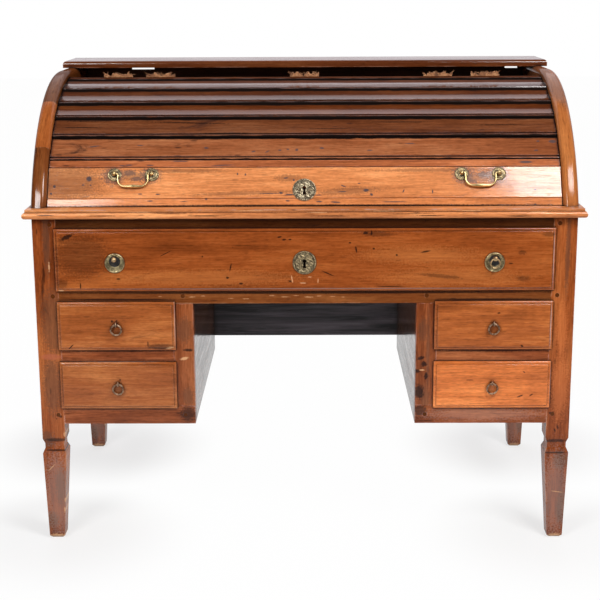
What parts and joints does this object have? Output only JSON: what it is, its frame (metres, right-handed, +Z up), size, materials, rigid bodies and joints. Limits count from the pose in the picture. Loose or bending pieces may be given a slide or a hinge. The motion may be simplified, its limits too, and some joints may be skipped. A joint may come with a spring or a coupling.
{
  "type": "cylinder desk",
  "caption": "Kneehole writing desk with a slatted roll top between curved side rails, a wide drawer, small drawers in both pedestals, tapered square legs and aged brass pulls.",
  "frame": {"origin": "on the floor, under the middle of the desk's box", "axes": "+X to the sitter's right along the desk, +Y from the front to the back, +Z up"},
  "size_m": [1.236, 0.6946, 1.0665],
  "materials": {
    "walnut": "waxed, red-brown, worn",
    "stained_wood": "dark stained",
    "drawer_lining": "plain sawn",
    "brass": "aged",
    "iron": "dull",
    "canvas": "coarse woven, frayed"
  },
  "bodies": {
    "case": {"front_legs": "walnut", "rear_legs": "walnut", "top_rail": "walnut", "middle_rail": "walnut", "stiles": "walnut", "pedestal_rails": "walnut", "side_panels": "walnut", "kneehole_panels": "walnut", "lower_backs": "stained_wood", "joint_pegs": "walnut", "drawer_runners": "drawer_lining", "desktop": "walnut", "left_gable": "walnut", "right_gable": "walnut", "right_rail": "walnut", "top_board": "walnut", "upper_back": "stained_wood", "left_rail_lower": "walnut", "left_rail_middle": "walnut", "left_rail_upper": "walnut"},
    "roll": {"slat_1": "walnut", "slat_2": "walnut", "slat_3": "walnut", "slat_4": "walnut", "slat_5": "walnut", "slat_6": "walnut", "lid_board": "walnut", "lid_foot_strip": "walnut", "lid_top_strip": "walnut", "canvas_straps": "canvas", "lid_escutcheon": "brass", "lid_lock": "iron", "bail_posts": "brass"},
    "lid_bolt": {"lid_bolt": "iron"},
    "left_bail": {"left_bail": "brass"},
    "right_bail": {"right_bail": "brass"},
    "wide_drawer": {"wide_drawer_front": "walnut", "wide_drawer_box": "drawer_lining", "wide_drawer_escutcheon": "brass", "wide_drawer_lock": "iron", "wide_drawer_rosettes": "brass"},
    "wide_drawer_bolt": {"wide_drawer_bolt": "iron"},
    "right_pull_ring": {"right_pull_ring": "brass"},
    "left_upper_drawer": {"left_upper_front": "walnut", "left_upper_box": "drawer_lining", "left_upper_staple": "brass"},
    "left_upper_ring": {"left_upper_ring": "brass"},
    "left_lower_drawer": {"left_lower_front": "walnut", "left_lower_box": "drawer_lining", "left_lower_staple": "brass"},
    "left_lower_ring": {"left_lower_ring": "brass"},
    "right_upper_drawer": {"right_upper_front": "walnut", "right_upper_box": "drawer_lining", "right_upper_staple": "brass"},
    "right_upper_ring": {"right_upper_ring": "brass"},
    "right_lower_drawer": {"right_lower_front": "walnut", "right_lower_box": "drawer_lining", "right_lower_staple": "brass"},
    "right_lower_ring": {"right_lower_ring": "brass"}
  },
  "joints": [
    {"name": "roll_turn", "type": "hinge", "parent": "case", "child": "roll", "pos_m": [0, 0.08654, 0.627], "axis": [-1, 0, 0], "range_deg": [0, 34]},
    {"name": "lid_bolt_throw", "type": "slide", "parent": "roll", "child": "lid_bolt", "axis": [0, -0.4867, -0.8736], "range_m": [0, 0.014]},
    {"name": "left_bail_lift", "type": "hinge", "parent": "roll", "child": "left_bail", "pos_m": [-0.381, -0.26601, 0.84556], "axis": [-1, 0, 0], "range_deg": [0, 105]},
    {"name": "right_bail_lift", "type": "hinge", "parent": "roll", "child": "right_bail", "pos_m": [0.391, -0.26601, 0.84556], "axis": [-1, 0, 0], "range_deg": [0, 105]},
    {"name": "wide_drawer_slide", "type": "slide", "parent": "case", "child": "wide_drawer", "axis": [0, -1, 0], "range_m": [0, 0.38]},
    {"name": "wide_drawer_bolt_throw", "type": "slide", "parent": "wide_drawer", "child": "wide_drawer_bolt", "axis": [0, 0, 1], "range_m": [0, 0.009]},
    {"name": "right_pull_ring_lift", "type": "hinge", "parent": "wide_drawer", "child": "right_pull_ring", "pos_m": [0.419, -0.3425, 0.66561], "axis": [-1, 0, 0], "range_deg": [0, 110]},
    {"name": "left_upper_drawer_slide", "type": "slide", "parent": "case", "child": "left_upper_drawer", "axis": [0, -1, 0], "range_m": [0, 0.38]},
    {"name": "left_upper_ring_lift", "type": "hinge", "parent": "left_upper_drawer", "child": "left_upper_ring", "pos_m": [-0.421, -0.337, 0.5165], "axis": [-1, 0, 0], "range_deg": [0, 110]},
    {"name": "left_lower_drawer_slide", "type": "slide", "parent": "case", "child": "left_lower_drawer", "axis": [0, -1, 0], "range_m": [0, 0.38]},
    {"name": "left_lower_ring_lift", "type": "hinge", "parent": "left_lower_drawer", "child": "left_lower_ring", "pos_m": [-0.421, -0.337, 0.3785], "axis": [-1, 0, 0], "range_deg": [0, 110]},
    {"name": "right_upper_drawer_slide", "type": "slide", "parent": "case", "child": "right_upper_drawer", "axis": [0, -1, 0], "range_m": [0, 0.38]},
    {"name": "right_upper_ring_lift", "type": "hinge", "parent": "right_upper_drawer", "child": "right_upper_ring", "pos_m": [0.421, -0.337, 0.5165], "axis": [-1, 0, 0], "range_deg": [0, 110]},
    {"name": "right_lower_drawer_slide", "type": "slide", "parent": "case", "child": "right_lower_drawer", "axis": [0, -1, 0], "range_m": [0, 0.38]},
    {"name": "right_lower_ring_lift", "type": "hinge", "parent": "right_lower_drawer", "child": "right_lower_ring", "pos_m": [0.421, -0.337, 0.3785], "axis": [-1, 0, 0], "range_deg": [0, 110]}
  ]
}
